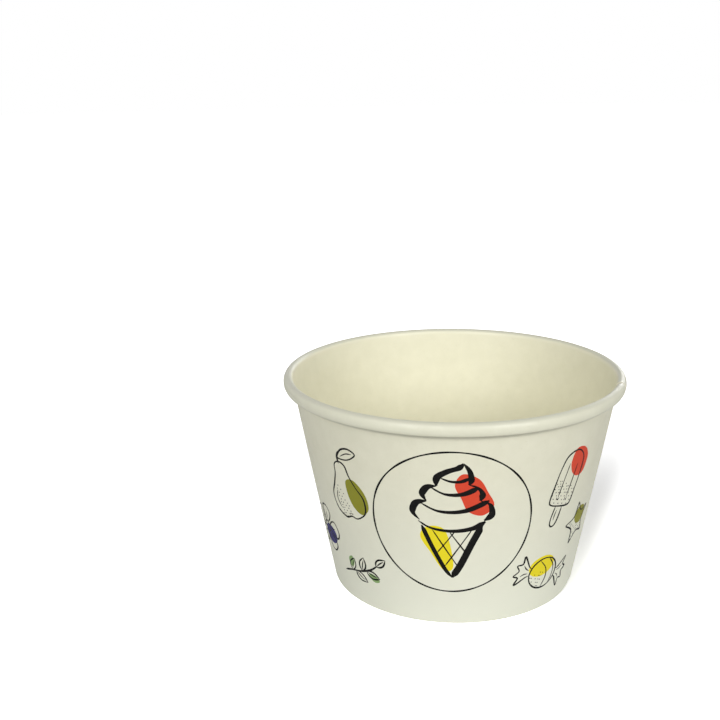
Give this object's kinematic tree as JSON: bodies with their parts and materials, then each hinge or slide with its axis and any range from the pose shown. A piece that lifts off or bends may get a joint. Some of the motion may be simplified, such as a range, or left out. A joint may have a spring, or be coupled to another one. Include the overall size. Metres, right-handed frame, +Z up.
{
  "type": "paper dessert cup",
  "caption": "Tapered paper dessert cup with a rolled rim, a lapped side seam and a flat base set up inside its folded foot.",
  "frame": {"origin": "centre of the foot, on the table that the cup stands on", "axes": "+Z up along the cup's centre line, out of its mouth; -Y is the front, and the side seam is on the +X side"},
  "size_m": [0.096, 0.0959, 0.061],
  "materials": {
    "printed_board": "satin",
    "base_board": "satin"
  },
  "bodies": {
    "root": {"side_wall": "printed_board", "base_disc": "base_board"}
  },
  "joints": []
}
